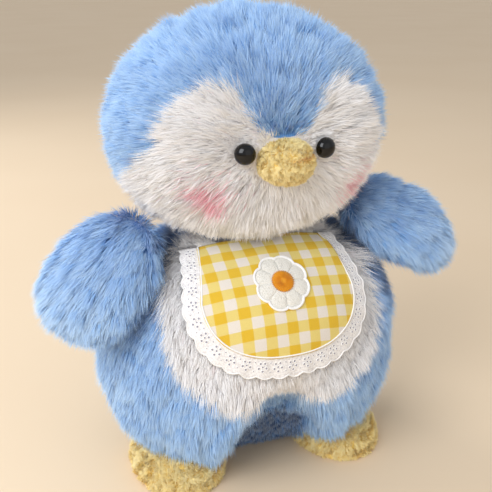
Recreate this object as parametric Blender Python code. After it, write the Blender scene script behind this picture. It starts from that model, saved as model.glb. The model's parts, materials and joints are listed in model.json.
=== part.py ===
"""A plush penguin with a gingham bib, about 30 cm tall.

Every sewn panel, wad of stuffing and moulded eye is a solid of its own. The toy faces -Y and
stands on its soles at z = 0. Left and right are the penguin's own, so its left side is at +X.
All sizes are in metres and all angles are in degrees.
"""
from math import cos, hypot, pi, radians, sin

import bmesh
import bpy
from mathutils import Matrix, Vector

# Fabric and fits
GAP = 0.0003                 # air between two pieces that touch
PILE_FABRIC = 0.005          # long-pile plush, laid flat
SHORT_PILE = 0.003           # short-pile plush of the beak and feet
CLOTH = 0.0008               # one layer of woven cotton or lace

# Head
HEAD_WIDTH = 0.169
HEAD_DEPTH = 0.139
HEAD_HEIGHT = 0.138
HEAD_MIDDLE = 0.227          # height of its middle above the floor
HEAD_SEAT = 0.1645           # height of the flat under it, at the neck

# Body
BODY_WIDTH = 0.204
BODY_DEPTH = 0.165
BODY_WAIST = 0.082           # height of its widest place
BODY_TOP = 0.160
BODY_DOWN = 0.084            # how far its curve would run below the waist, cut off flat at the floor
BODY_FULLNESS = 2.5          # exponent of its upright profile: 2 is an ellipse
BODY_SEAT = 0.1575           # height of the flat on top of it, at the neck

# Neck: a round wad of stuffing between the two seats
NECK_MIDDLE = 0.161
NECK_RADIUS = 0.015
NECK_CLEARANCE = 0.0006
NECK_OPENING = 0.034         # radius of the hole in the body's skin
HEAD_OPENING = 0.022         # radius of the hole in the head's skin

# Pellet bag that weights the base
BAG_WIDTH = 0.060
BAG_DEPTH = 0.046
BAG_HEIGHT = 0.026

# Face: half outlines as (azimuth from the front, elevation), seen from the head's middle
FACE_OUTLINE = [(0, 4), (10, 6), (14, 13), (20, 20.5), (26, 24.5), (35, 25), (44, 20.5), (51, 12),
                (58, 0), (67, -9), (80, -15), (91, -23), (97, -34), (96, -48), (88, -64), (45, -72),
                (0, -74)]
BELLY_OUTLINE = [(0, -4), (17, -3), (33, 3), (45, 12), (52, 24), (59, 38), (72, 50), (84, 60),
                 (74, 72), (0, 78)]
BELLY_VIEW = 0.075           # height of the point that the belly's outline is seen from

# Eyes: moulded domes on a shank, held by a washer inside the face
EYE_SPACING = 0.048
EYE_HEIGHT = 0.2245
EYE_RADIUS = 0.006
EYE_DOME = 0.0046
EYE_RIM = 0.0008
SHANK_RADIUS = 0.0014
SHANK_LENGTH = 0.0115
WASHER_RADIUS = 0.0052
WASHER_THICKNESS = 0.0012
WASHER_CLEARANCE = 0.0002
WASHER_STANDOFF = 0.0015     # behind the fabric, which curves away from its flat face

# Beak
BEAK_WIDTH = 0.034
BEAK_HEIGHT = 0.027
BEAK_REACH = 0.038           # front to back, half of it inside the head's outline
BEAK_FORWARD = 0.066
BEAK_MIDDLE = 0.2185
BEAK_MOUTH = 0.2225          # height of the crease between its halves

# Feet
FOOT_SPACING = 0.116
FOOT_WIDTH = 0.064
FOOT_LENGTH = 0.086
FOOT_HEIGHT = 0.026
FOOT_FORWARD = 0.021
FOOT_FULLNESS = 2.6
SOLE_THICKNESS = 0.003

# Flippers
FLIPPER_LENGTH = 0.081
FLIPPER_WIDTH = 0.068
FLIPPER_THICKNESS = 0.032
FLIPPER_TAPER = 0.12         # share by which it is narrower at the root, and wider at the tip
FLIPPER_FULLNESS = 2.2
FLIPPER_PANEL = 0.004
FLIPPER_SEAM = 0.0035        # hinge line's distance from the root's end
FLIPPER_STANDOFF = 0.0005    # clear space between root and body, measured level
FLIPPER_CLEARANCE = 0.0008   # least space between a flipper and the body
FLIPPER_SINK = 0.001         # the hinge line's height over its underside
SHOULDER_HEIGHT = 0.150
SHOULDER_RISE = 0.011        # height of the hinge line over the body at the shoulder
SHOULDER_TURN = -2           # how far in front of the side the shoulder sits
FLIPPER_TURN = 21            # how far forward a flipper points
FLIPPER_TWIST = 24           # how far its front edge is turned down about its length
FLIPPER_DROOP = {"left": 24, "right": 41}

# Bib: a U of cloth, drawn flat on the chest's slope
BIB_FORWARD = 0.066
BIB_MIDDLE = 0.140
BIB_SLOPE = 48               # the chest's slope there
BIB_HALF_WIDTH = 0.049
BIB_NECK_HALF_WIDTH = 0.041
BIB_DROP = 0.0385            # from its middle down to its round edge
BIB_RISE = 0.040             # from its middle up to the neck
BIB_ROUNDNESS = 2.3
BIB_STANDOFF = 0.001
LACE_WIDTH = 0.011
FOLD_FORWARD = 0.046         # where the bib folds when it is lifted
FOLD_HEIGHT = 0.156
FLOWER_RADIUS = 0.0165
FLOWER_PETALS = 8
FLOWER_SCALLOP = 0.0015
FLOWER_CENTRE_RADIUS = 0.007
FLOWER_UP = 0.004            # above the bib's middle
PATCH_THICKNESS = 0.0014

# Neck band, its closure at the nape and the care label
BAND_INNER = 0.037
BAND_OUTER = 0.0448
BAND_THICKNESS = 0.0012
CLOSURE_WIDTH = 0.016
CLOSURE_THICKNESS = 0.001
LABEL_WIDTH = 0.012
LABEL_BOTTOM = 0.034
LABEL_TOP = 0.054
LABEL_THICKNESS = 0.0006

FAR = 0.4                    # reach of a cutter past everything
SIDES = {"left": 1, "right": -1}
NECK = Vector((0, 0, NECK_MIDDLE))


# ------------------------------------------------------------------ materials and objects

def finish(name, colour, roughness):
    material = bpy.data.materials.new(name)
    material.use_nodes = True
    shader = material.node_tree.nodes["Principled BSDF"]
    shader.inputs["Base Color"].default_value = (*colour, 1)
    shader.inputs["Roughness"].default_value = roughness
    shader.inputs["Metallic"].default_value = 0
    return material


def new_object(name, form, frame):
    """Turns a form in world coordinates into an object whose origin is the frame's."""
    form.transform(frame.inverted())
    bmesh.ops.recalc_face_normals(form, faces=form.faces)
    if form.calc_volume(signed=True) < 0:
        bmesh.ops.reverse_faces(form, faces=form.faces)
    mesh = bpy.data.meshes.new(name)
    form.to_mesh(mesh)
    form.free()
    item = bpy.data.objects.new(name, mesh)
    item.matrix_world = frame
    bpy.context.scene.collection.objects.link(item)
    return item


def piece(name, form, material, frame=Matrix()):
    item = new_object(name, form, frame)
    item.data.shade_smooth()
    item.data.set_sharp_from_angle(angle=radians(40))
    item.data.materials.append(material)
    return item


def cutter(name, form):
    item = new_object(name, form, Matrix())
    item.hide_render = True
    item.display_type = "WIRE"
    return item


def carve(item, *cutters, operation="DIFFERENCE"):
    for tool in cutters:
        cut = item.modifiers.new(tool.name, "BOOLEAN")
        cut.operation = operation
        cut.solver = "EXACT"
        cut.object = tool


# ------------------------------------------------------------------ forms

def egg(centre, half, fullness=2.0, columns=22, rows=12):
    """A closed rounded form. half is its half size along x and y, then upwards and downwards."""
    across, along, upwards, downwards = half
    form = bmesh.new()
    bmesh.ops.create_uvsphere(form, u_segments=columns, v_segments=rows, radius=1)
    for vert in form.verts:
        level = hypot(vert.co.x, vert.co.y)
        swell = (level ** fullness + abs(vert.co.z) ** fullness) ** (-1 / fullness)
        rise = upwards if vert.co.z > 0 else downwards
        vert.co = Vector((vert.co.x * across, vert.co.y * along, vert.co.z * rise)) * swell
        vert.co += Vector(centre)
    return form


def block(low, high):
    form = bmesh.new()
    bmesh.ops.create_cube(form, size=1)
    size = Vector(high) - Vector(low)
    bmesh.ops.scale(form, vec=size, verts=form.verts)
    bmesh.ops.translate(form, vec=Vector(low) + size / 2, verts=form.verts)
    return form


def rod(radius, bottom, top, segments=28):
    """An upright cylinder on the z axis."""
    form = bmesh.new()
    bmesh.ops.create_cone(form, cap_ends=True, segments=segments, radius1=radius, radius2=radius,
                          depth=top - bottom)
    bmesh.ops.translate(form, vec=(0, 0, (top + bottom) / 2), verts=form.verts)
    return form


def turned(profile, segments=16):
    """A profile of (radius, height) points from axis to axis, spun round the z axis."""
    form = bmesh.new()
    verts = [form.verts.new((radius, 0, height)) for radius, height in profile]
    edges = [form.edges.new(pair) for pair in zip(verts, verts[1:])]
    bmesh.ops.spin(form, geom=verts + edges, axis=(0, 0, 1), cent=(0, 0, 0), angle=2 * pi,
                   steps=segments, use_merge=True)
    bmesh.ops.remove_doubles(form, verts=form.verts, dist=1e-6)
    return form


def wedge(apex, outline):
    """A pyramid from apex out through a closed outline of (azimuth, elevation) directions."""
    form = bmesh.new()
    tip = form.verts.new(apex)
    ring = []
    for azimuth, elevation in outline:
        turn, lift = radians(azimuth), radians(elevation)
        way = Vector((sin(turn) * cos(lift), -cos(turn) * cos(lift), sin(lift)))
        ring.append(form.verts.new(apex + way * FAR))
    middle = sum((vert.co - apex for vert in ring), Vector()).normalized()
    cap = form.verts.new(apex + middle * FAR * 1.5)
    for first, second in zip(ring, ring[1:] + ring[:1]):
        form.faces.new((tip, first, second))
        form.faces.new((cap, second, first))
    return form


def prism(outline, frame, low, high):
    """A flat outline extruded along the frame's z axis."""
    form = bmesh.new()
    face = form.faces.new([form.verts.new((x, y, low)) for x, y in outline])
    raised = bmesh.ops.extrude_face_region(form, geom=[face])["geom"]
    verts = [item for item in raised if isinstance(item, bmesh.types.BMVert)]
    bmesh.ops.translate(form, vec=(0, 0, high - low), verts=verts)
    form.transform(frame)
    return form


# ------------------------------------------------------------------ outlines

def mirrored(half):
    """Closes a half outline that starts and ends on the centre line."""
    return half + [(-x, y) for x, y in reversed(half[1:-1])]


def smoothed(points, steps=2):
    """A closed Catmull-Rom curve through the points."""
    result = []
    count = len(points)
    for index in range(count):
        a, b, c, d = (Vector(points[(index + shift) % count]) for shift in (-1, 0, 1, 2))
        for step in range(steps):
            t = step / steps
            result.append(tuple(b + (c - a) * t / 2 + (2 * a - 5 * b + 4 * c - d) * t * t / 2
                                + (3 * b - a - 3 * c + d) * t ** 3 / 2))
    return result


def grown(points, distance):
    """Moves a closed outline outwards by a distance in its own units."""
    count = len(points)
    area = sum(points[i - 1][0] * points[i][1] - points[i][0] * points[i - 1][1]
               for i in range(count))
    turn = 1 if area > 0 else -1
    result = []
    for index, point in enumerate(points):
        along = Vector(points[(index + 1) % count]) - Vector(points[index - 1])
        outward = Vector((along.y, -along.x)).normalized() * turn
        result.append(tuple(Vector(point) + outward * distance))
    return result


def bib_outline(extra=0.0):
    """A U with a round bottom edge, wider at its middle than at the neck."""
    points = [(BIB_NECK_HALF_WIDTH + extra, BIB_RISE)]
    for step in range(13):
        angle = pi * step / 12
        x, y = cos(angle), sin(angle)
        swell = (abs(x) ** BIB_ROUNDNESS + y ** BIB_ROUNDNESS) ** (-1 / BIB_ROUNDNESS)
        points.append((x * swell * (BIB_HALF_WIDTH + extra), -y * swell * (BIB_DROP + extra)))
    points.append((-BIB_NECK_HALF_WIDTH - extra, BIB_RISE))
    return points


def petal_outline():
    points = []
    for step in range(FLOWER_PETALS * 4):
        angle = 2 * pi * step / (FLOWER_PETALS * 4)
        notch = 1 - abs(sin(FLOWER_PETALS * angle / 2))
        radius = FLOWER_RADIUS - FLOWER_SCALLOP * notch
        points.append((radius * cos(angle), FLOWER_UP + radius * sin(angle)))
    return points


def round_outline(radius, middle, segments=20):
    return [(radius * cos(2 * pi * step / segments), middle + radius * sin(2 * pi * step / segments))
            for step in range(segments)]


# ------------------------------------------------------------------ shared forms

def head_form(grow=0.0):
    half = (HEAD_WIDTH / 2 + grow, HEAD_DEPTH / 2 + grow, HEAD_HEIGHT / 2 + grow,
            HEAD_HEIGHT / 2 + grow)
    return egg((0, 0, HEAD_MIDDLE), half)


def body_form(grow=0.0):
    half = (BODY_WIDTH / 2 + grow, BODY_DEPTH / 2 + grow, BODY_TOP - BODY_WAIST + grow,
            BODY_DOWN + grow)
    return egg((0, 0, BODY_WAIST), half, BODY_FULLNESS, columns=26, rows=14)


def below(height):
    return block((-FAR, -FAR, height - FAR), (FAR, FAR, height))


def above(height):
    return block((-FAR, -FAR, height), (FAR, FAR, height + FAR))


def ball(centre, radius):
    return egg(centre, (radius, radius, radius, radius), columns=16, rows=10)


def empty_scene():
    for item in list(bpy.data.objects):
        bpy.data.objects.remove(item, do_unlink=True)


# ------------------------------------------------------------------ body

def make_body(blue, white, fill, pellets, card):
    apex = Vector((0, 0, BELLY_VIEW))
    outline = smoothed(mirrored(BELLY_OUTLINE))
    slack = GAP / (BODY_DEPTH / 2) * 180 / pi * 1.6
    inside = cutter("cut_body_inside", body_form(-PILE_FABRIC))
    seat = cutter("cut_body_seat", above(BODY_SEAT))
    opening = cutter("cut_neck_opening", rod(NECK_OPENING, BODY_WAIST, FAR))
    sill_height = PILE_FABRIC + GAP
    sill = cutter("cut_body_sill", below(sill_height))

    back = piece("body_back", body_form(), blue)
    belly_hole = cutter("cut_belly_hole", wedge(apex, grown(outline, slack)))
    carve(back, inside, belly_hole, seat, sill, opening)

    belly = piece("belly_panel", body_form(), white)
    carve(belly, inside)
    carve(belly, cutter("cut_belly", wedge(apex, outline)), operation="INTERSECT")
    carve(belly, seat, sill, opening)

    base = piece("base_panel", body_form(), blue)
    carve(base, cutter("cut_base_top", above(PILE_FABRIC)), cutter("cut_base_under", below(0)))

    stuffing = piece("body_stuffing", body_form(-PILE_FABRIC - GAP), fill)
    socket = cutter("cut_neck_socket", ball(NECK, NECK_RADIUS + NECK_CLEARANCE))
    bag_middle = (0, 0, sill_height)
    bag = (BAG_WIDTH / 2, BAG_DEPTH / 2, BAG_HEIGHT, BAG_HEIGHT)
    pocket = egg(bag_middle, [size + GAP for size in bag], columns=20, rows=8)
    carve(stuffing, seat, sill, socket, cutter("cut_bag_pocket", pocket))

    pellet_bag = piece("pellet_bag", egg(bag_middle, bag, columns=20, rows=8), pellets)
    carve(pellet_bag, sill)

    label = piece("care_label", body_form(BIB_STANDOFF + LABEL_THICKNESS), card)
    carve(label, cutter("cut_label_inside", body_form(BIB_STANDOFF)))
    strip = block((-LABEL_WIDTH / 2, 0, LABEL_BOTTOM), (LABEL_WIDTH / 2, FAR, LABEL_TOP))
    carve(label, cutter("cut_label", strip), operation="INTERSECT")

    wad = (NECK_RADIUS,) * 4
    piece("neck_stuffing", egg(NECK, wad, columns=16, rows=10), fill, Matrix.Translation(NECK))


def make_feet(yellow, fill):
    around = cutter("cut_body_round_foot", body_form(GAP))
    ground = cutter("cut_ground", below(0))
    sole_top = cutter("cut_sole_top", above(SOLE_THICKNESS))
    sole_under = cutter("cut_sole_under", below(SOLE_THICKNESS + GAP))
    for side, sign in SIDES.items():
        middle = (sign * FOOT_SPACING / 2, -FOOT_FORWARD, 0)
        half = (FOOT_WIDTH / 2, FOOT_LENGTH / 2, FOOT_HEIGHT, FOOT_HEIGHT)

        def foot_form(grow=0.0):
            return egg(middle, [size + grow for size in half], FOOT_FULLNESS, columns=16, rows=8)

        carve(piece("foot_sole_" + side, foot_form(), yellow), ground, sole_top, around)
        upper = piece("foot_upper_" + side, foot_form(), yellow)
        hollow = cutter("cut_foot_inside_" + side, foot_form(-SHORT_PILE))
        carve(upper, hollow, sole_under, around)
        carve(piece("foot_stuffing_" + side, foot_form(-SHORT_PILE - GAP), fill), sole_under, around)


# ------------------------------------------------------------------ head

def eye_frame(sign):
    """Stands an eye on the head's outside, looking along the outward normal."""
    x, z = sign * EYE_SPACING / 2, EYE_HEIGHT - HEAD_MIDDLE
    rx, ry, rz = HEAD_WIDTH / 2, HEAD_DEPTH / 2, HEAD_HEIGHT / 2
    y = -ry * (1 - (x / rx) ** 2 - (z / rz) ** 2) ** 0.5
    outward = Vector((x / rx ** 2, y / ry ** 2, z / rz ** 2))
    turn = outward.to_track_quat("Z", "Y").to_matrix().to_4x4()
    return Matrix.Translation((x, y, EYE_HEIGHT)) @ turn


def make_eyes(black, washer_plastic, face, stuffing):
    dome = [(0, -SHANK_LENGTH), (SHANK_RADIUS, -SHANK_LENGTH), (SHANK_RADIUS, GAP),
            (EYE_RADIUS, GAP)]
    for step in range(5):
        angle = pi / 2 * step / 5
        dome.append((EYE_RADIUS * cos(angle), GAP + EYE_RIM + EYE_DOME * sin(angle)))
    dome.append((0, GAP + EYE_RIM + EYE_DOME))
    top = -PILE_FABRIC - WASHER_STANDOFF
    bottom = top - WASHER_THICKNESS
    bore = SHANK_RADIUS + WASHER_CLEARANCE
    washer = [(bore, top), (WASHER_RADIUS, top), (WASHER_RADIUS, bottom), (bore, bottom),
              (bore, top)]
    for side, sign in SIDES.items():
        frame = eye_frame(sign)
        form = turned(dome)
        form.transform(frame)
        piece("eye_" + side, form, black, Matrix.Translation(NECK))
        form = turned(washer)
        form.transform(frame)
        piece("eye_washer_" + side, form, washer_plastic, Matrix.Translation(NECK))
        form = rod(SHANK_RADIUS + GAP, -2 * PILE_FABRIC, PILE_FABRIC, segments=12)
        form.transform(frame)
        carve(face, cutter("cut_shank_hole_" + side, form))
        form = rod(WASHER_RADIUS + GAP, -SHANK_LENGTH - GAP, PILE_FABRIC, segments=16)
        form.transform(frame)
        carve(stuffing, cutter("cut_washer_pocket_" + side, form))


def make_beak(yellow, fill):
    around = cutter("cut_head_behind_beak", head_form(GAP))
    middle = (0, -BEAK_FORWARD, BEAK_MIDDLE)
    half = (BEAK_WIDTH / 2, BEAK_REACH / 2, BEAK_HEIGHT / 2, BEAK_HEIGHT / 2)

    def beak_form(grow=0.0):
        return egg(middle, [size + grow for size in half], 2.2, columns=16, rows=8)

    hollow = cutter("cut_beak_inside", beak_form(-SHORT_PILE))
    upper = piece("beak_upper", beak_form(), yellow, Matrix.Translation(NECK))
    carve(upper, hollow, around, cutter("cut_beak_mouth_under", below(BEAK_MOUTH + GAP / 2)))
    lower = piece("beak_lower", beak_form(), yellow, Matrix.Translation(NECK))
    carve(lower, hollow, around, cutter("cut_beak_mouth_over", above(BEAK_MOUTH - GAP / 2)))
    form = beak_form(-SHORT_PILE - GAP)
    carve(piece("beak_stuffing", form, fill, Matrix.Translation(NECK)), around)


def make_head(blue, white, fill, black, washer_plastic, yellow):
    apex = Vector((0, 0, HEAD_MIDDLE))
    outline = smoothed(mirrored(FACE_OUTLINE))
    slack = GAP / (HEAD_DEPTH / 2) * 180 / pi * 1.6
    inside = cutter("cut_head_inside", head_form(-PILE_FABRIC))
    seat = cutter("cut_head_seat", below(HEAD_SEAT))
    opening = cutter("cut_head_opening", rod(HEAD_OPENING, 0, HEAD_MIDDLE))
    frame = Matrix.Translation(NECK)

    cap = piece("head_cap", head_form(), blue, frame)
    face_hole = cutter("cut_face_hole", wedge(apex, grown(outline, slack)))
    carve(cap, inside, face_hole, seat, opening)

    face = piece("face_panel", head_form(), white, frame)
    carve(face, inside)
    carve(face, cutter("cut_face", wedge(apex, outline)), operation="INTERSECT")
    carve(face, seat, opening)

    stuffing = piece("head_stuffing", head_form(-PILE_FABRIC - GAP), fill, frame)
    socket = cutter("cut_head_socket", ball(NECK, NECK_RADIUS + NECK_CLEARANCE))
    carve(stuffing, seat, socket)
    make_eyes(black, washer_plastic, face, stuffing)
    make_beak(yellow, fill)


# ------------------------------------------------------------------ flippers

def body_radius_share(height):
    """The body's radius at a height, as a share of its radius at the waist."""
    reach = BODY_TOP - BODY_WAIST if height > BODY_WAIST else BODY_DOWN
    share = abs(height - BODY_WAIST) / reach
    return (1 - share ** BODY_FULLNESS) ** (1 / BODY_FULLNESS)


def shoulder_frame(side):
    """Origin on the hinge line. x runs along the hinge, y through the thickness, z to the tip."""
    sign = SIDES[side]
    share = body_radius_share(SHOULDER_HEIGHT)
    turn, forward, droop = (radians(a) for a in (SHOULDER_TURN, FLIPPER_TURN, FLIPPER_DROOP[side]))
    surface = Vector((sign * BODY_WIDTH / 2 * share * cos(turn),
                      -BODY_DEPTH / 2 * share * sin(turn), SHOULDER_HEIGHT))
    tip = Vector((sign * cos(forward) * cos(droop), -sin(forward) * cos(droop), -sin(droop)))
    level = Vector((sin(forward), sign * cos(forward), 0))
    hinge = Matrix.Rotation(radians(sign * FLIPPER_TWIST), 3, tip) @ level
    up = tip.cross(hinge)
    level_out = Vector((sign * cos(forward), -sin(forward), 0))
    origin = surface + level_out * (FLIPPER_SEAM + FLIPPER_STANDOFF)
    origin.z += SHOULDER_RISE
    turn_axes = Matrix((hinge, up, tip)).transposed().to_4x4()
    frame = Matrix.Translation(origin) @ turn_axes
    while touches_body(flipper_form(frame)):
        frame.translation += level_out * GAP
    return frame


def touches_body(form):
    """Whether any corner of a form is nearer to the body than a flipper may be."""
    body = BODY_WIDTH / 2 + FLIPPER_CLEARANCE, BODY_DEPTH / 2 + FLIPPER_CLEARANCE
    inside = False
    for vert in form.verts:
        x, y, z = vert.co
        reach = (BODY_TOP - BODY_WAIST if z > BODY_WAIST else BODY_DOWN) + FLIPPER_CLEARANCE
        level = hypot(x / body[0], y / body[1])
        share = level ** BODY_FULLNESS + (abs(z - BODY_WAIST) / reach) ** BODY_FULLNESS
        inside = inside or share < 1
    form.free()
    return inside


def flipper_form(frame, grow=0.0):
    half = (FLIPPER_WIDTH / 2 + grow, FLIPPER_THICKNESS / 2 + grow, FLIPPER_LENGTH / 2 + grow,
            FLIPPER_LENGTH / 2 + grow)
    form = egg((0, 0, 0), half, FLIPPER_FULLNESS, columns=16, rows=10)
    for vert in form.verts:
        vert.co.x *= 1 + FLIPPER_TAPER * vert.co.z / (FLIPPER_LENGTH / 2)
    middle = (0, FLIPPER_THICKNESS / 2 - FLIPPER_SINK, FLIPPER_LENGTH / 2 - FLIPPER_SEAM)
    bmesh.ops.translate(form, vec=middle, verts=form.verts)
    form.transform(frame)
    return form


def make_flippers(blue, fill):
    for side in SIDES:
        frame = shoulder_frame(side)
        hollow = cutter("cut_flipper_inside_" + side, flipper_form(frame, -FLIPPER_PANEL))
        seam = FLIPPER_THICKNESS / 2 - FLIPPER_SINK
        under = block((-FAR, -FAR, -FAR), (FAR, seam + GAP / 2, FAR))
        over = block((-FAR, seam - GAP / 2, -FAR), (FAR, FAR, FAR))
        for form in (under, over):
            form.transform(frame)
        outer = piece("flipper_outer_" + side, flipper_form(frame), blue, frame)
        carve(outer, hollow, cutter("cut_flipper_under_" + side, under))
        inner = piece("flipper_inner_" + side, flipper_form(frame), blue, frame)
        carve(inner, hollow, cutter("cut_flipper_over_" + side, over))
        form = flipper_form(frame, -FLIPPER_PANEL - GAP)
        piece("flipper_stuffing_" + side, form, fill, frame)


# ------------------------------------------------------------------ bib and band

def layer(name, material, standoff, thickness, frame=Matrix()):
    """A skin that lies at a distance over the body."""
    item = piece(name, body_form(standoff + thickness), material, frame)
    carve(item, cutter("cut_under_" + name, body_form(standoff)))
    return item


def make_bib(gingham, lining_cloth, lace_thread, petal_thread, centre_thread):
    slope = Matrix.Rotation(radians(BIB_SLOPE), 4, "X")
    chest = Matrix.Translation((0, -BIB_FORWARD, BIB_MIDDLE)) @ slope
    fold = Matrix.Translation((0, -FOLD_FORWARD, FOLD_HEIGHT))
    low, high = -0.045, 0.06

    def shape(name, outline):
        return cutter(name, prism(outline, chest, low, high))

    cloth_shape = shape("cut_bib", bib_outline())
    lace_shape = shape("cut_lace", bib_outline(LACE_WIDTH))
    lace_hole = shape("cut_lace_hole", bib_outline(GAP))
    behind_fold = cutter("cut_behind_fold", block((-FAR, -FOLD_FORWARD - GAP, -FAR), (FAR, FAR, FAR)))

    lining = layer("bib_lining", lining_cloth, BIB_STANDOFF, CLOTH, fold)
    carve(lining, cloth_shape, operation="INTERSECT")
    carve(lining, behind_fold)

    front_standoff = BIB_STANDOFF + CLOTH + GAP
    front = layer("bib_front", gingham, front_standoff, CLOTH, fold)
    carve(front, cloth_shape, operation="INTERSECT")
    carve(front, behind_fold)

    lace = layer("bib_lace", lace_thread, BIB_STANDOFF, 2 * CLOTH, fold)
    carve(lace, lace_shape, operation="INTERSECT")
    carve(lace, lace_hole, behind_fold)

    petal_standoff = front_standoff + CLOTH + GAP
    petals = layer("flower_petals", petal_thread, petal_standoff, PATCH_THICKNESS, fold)
    carve(petals, shape("cut_petals", petal_outline()), operation="INTERSECT")

    centre_standoff = petal_standoff + PATCH_THICKNESS + GAP
    centre = layer("flower_centre", centre_thread, centre_standoff, PATCH_THICKNESS, fold)
    middle = round_outline(FLOWER_CENTRE_RADIUS, FLOWER_UP)
    carve(centre, shape("cut_flower_centre", middle), operation="INTERSECT")

    band_hole = cutter("cut_band_inside", rod(BAND_OUTER + GAP, BODY_WAIST, FAR))
    for side, sign in SIDES.items():
        corner = layer("bib_corner_" + side, gingham, BIB_STANDOFF, 2 * CLOTH)
        carve(corner, lace_shape, operation="INTERSECT")
        reach = sorted((0, sign * FAR))
        half = block((reach[0], -FOLD_FORWARD + GAP, 0), (reach[1], 0, FAR))
        carve(corner, cutter("cut_corner_" + side, half), operation="INTERSECT")
        carve(corner, band_hole)


def make_band(ribbon, hooks):
    band = layer("neck_band", ribbon, BIB_STANDOFF, BAND_THICKNESS)
    carve(band, cutter("cut_band_outside", rod(BAND_OUTER, BODY_WAIST, FAR)), operation="INTERSECT")
    carve(band, cutter("cut_band_hole", rod(BAND_INNER, BODY_WAIST - GAP, FAR + GAP)))
    standoff = BIB_STANDOFF + BAND_THICKNESS + GAP
    reach = block((-CLOSURE_WIDTH / 2, BAND_INNER, BODY_WAIST), (CLOSURE_WIDTH / 2, BAND_OUTER, FAR))
    patch = cutter("cut_closure", reach)
    for name in ("closure_loop", "closure_hook"):
        carve(layer(name, hooks, standoff, CLOSURE_THICKNESS), patch, operation="INTERSECT")
        standoff += CLOSURE_THICKNESS + GAP


def build():
    empty_scene()
    blue = finish("blue_long_pile", (0.33, 0.53, 0.80), 0.95)
    white = finish("white_long_pile", (0.82, 0.80, 0.79), 0.95)
    yellow = finish("yellow_short_pile", (0.88, 0.72, 0.32), 0.95)
    fill = finish("fibre_fill", (0.90, 0.90, 0.88), 1.0)
    pellets = finish("pellet_cloth", (0.75, 0.75, 0.72), 0.9)
    black = finish("black_gloss", (0.01, 0.01, 0.01), 0.08)
    washer_plastic = finish("washer_plastic", (0.85, 0.85, 0.83), 0.4)
    gingham = finish("yellow_gingham", (0.82, 0.62, 0.12), 0.85)
    plain_cotton = finish("white_cotton", (0.85, 0.84, 0.82), 0.9)
    lace_thread = finish("white_lace", (0.88, 0.87, 0.86), 0.85)
    petal_thread = finish("off_white_thread", (0.84, 0.82, 0.76), 0.7)
    centre_thread = finish("orange_thread", (0.85, 0.38, 0.02), 0.6)
    make_body(blue, white, fill, pellets, plain_cotton)
    make_feet(yellow, fill)
    make_head(blue, white, fill, black, washer_plastic, yellow)
    make_flippers(blue, fill)
    make_bib(gingham, plain_cotton, lace_thread, petal_thread, centre_thread)
    make_band(plain_cotton, washer_plastic)


build()
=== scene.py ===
"""A plush penguin with a lace-edged gingham bib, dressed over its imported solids.

Metres, +Z up. The penguin faces -Y, and its own left side is at +X. The sections follow the toy
as it is sewn together: head, face, beak, eyes, body, feet, flippers, bib, lace, flower, band.
"""
import json
from math import cos, pi, radians, sin

import bmesh
import bpy
import numpy as np
from mathutils import Matrix, Vector


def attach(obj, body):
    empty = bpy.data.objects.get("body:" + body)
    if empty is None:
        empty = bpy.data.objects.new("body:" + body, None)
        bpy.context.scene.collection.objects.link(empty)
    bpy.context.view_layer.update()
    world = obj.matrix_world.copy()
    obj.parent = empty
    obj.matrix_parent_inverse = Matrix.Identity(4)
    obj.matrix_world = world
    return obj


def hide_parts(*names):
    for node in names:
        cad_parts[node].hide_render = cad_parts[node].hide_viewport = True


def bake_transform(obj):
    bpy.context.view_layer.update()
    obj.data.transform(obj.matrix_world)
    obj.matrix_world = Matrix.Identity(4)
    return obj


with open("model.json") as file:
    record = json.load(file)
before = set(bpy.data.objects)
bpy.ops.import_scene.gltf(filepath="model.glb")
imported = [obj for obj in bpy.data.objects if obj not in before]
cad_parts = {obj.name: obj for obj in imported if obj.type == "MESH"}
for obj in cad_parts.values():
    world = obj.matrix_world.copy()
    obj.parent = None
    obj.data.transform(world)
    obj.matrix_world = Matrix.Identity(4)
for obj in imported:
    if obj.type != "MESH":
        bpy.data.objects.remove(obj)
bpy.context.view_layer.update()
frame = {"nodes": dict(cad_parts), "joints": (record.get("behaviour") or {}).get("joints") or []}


# ---------------------------------------------------------------- head: cap and face
# The head is two panels of long-pile plush over a ball of fibre fill. The blue cap comes down to
# the beak in a widow's peak, and the white face is two lobes with an airbrushed blush. Each panel
# is a thin knitted backing with its pile as separate tapered strands, which lie away from the beak.

HEAD_MIDDLE = (0, 0, 0.227)
HEAD_HALF = (0.0845, 0.0695, 0.069, 0.069)
BACKING_DEPTH, BACKING_WALL = 0.0045, 0.002
LONG_PILE, LONG_PILE_PER_MM2 = 0.0135, 4.3
FACE_OUTLINE = [(0, 4), (10, 6), (14, 13), (20, 20.5), (26, 24.5), (35, 25), (44, 20.5), (51, 12),
                (58, 0), (67, -9), (80, -15), (91, -23), (97, -34), (96, -48), (88, -64), (45, -72),
                (0, -74)]
EYE_OUT, EYE_DROP, EYE_RADIUS = 0.024, 0.0025, 0.006
EYE_PLACES = [np.array((side * EYE_OUT, -0.0665, 0.2245)) for side in (1, -1)]
BEAK_MIDDLE = np.array((0, -0.066, 0.2185))
BEAK_HALF = np.array((0.017, 0.019, 0.0135))
BLUSH_PLACES = [(45, -24), (-34, -22.5)]


def egg(centre, half, fullness=2.0, columns=96, rows=64):
    """A closed rounded form; half is its half size across, along, upwards and downwards."""
    form = bmesh.new()
    bmesh.ops.create_uvsphere(form, u_segments=columns, v_segments=rows, radius=1)
    for vert in form.verts:
        level = (vert.co.x ** 2 + vert.co.y ** 2) ** 0.5
        swell = (level ** fullness + abs(vert.co.z) ** fullness) ** (-1 / fullness)
        rise = half[2] if vert.co.z > 0 else half[3]
        vert.co = Vector((vert.co.x * half[0], vert.co.y * half[1], vert.co.z * rise)) * swell
        vert.co += Vector(centre)
    return form


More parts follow.
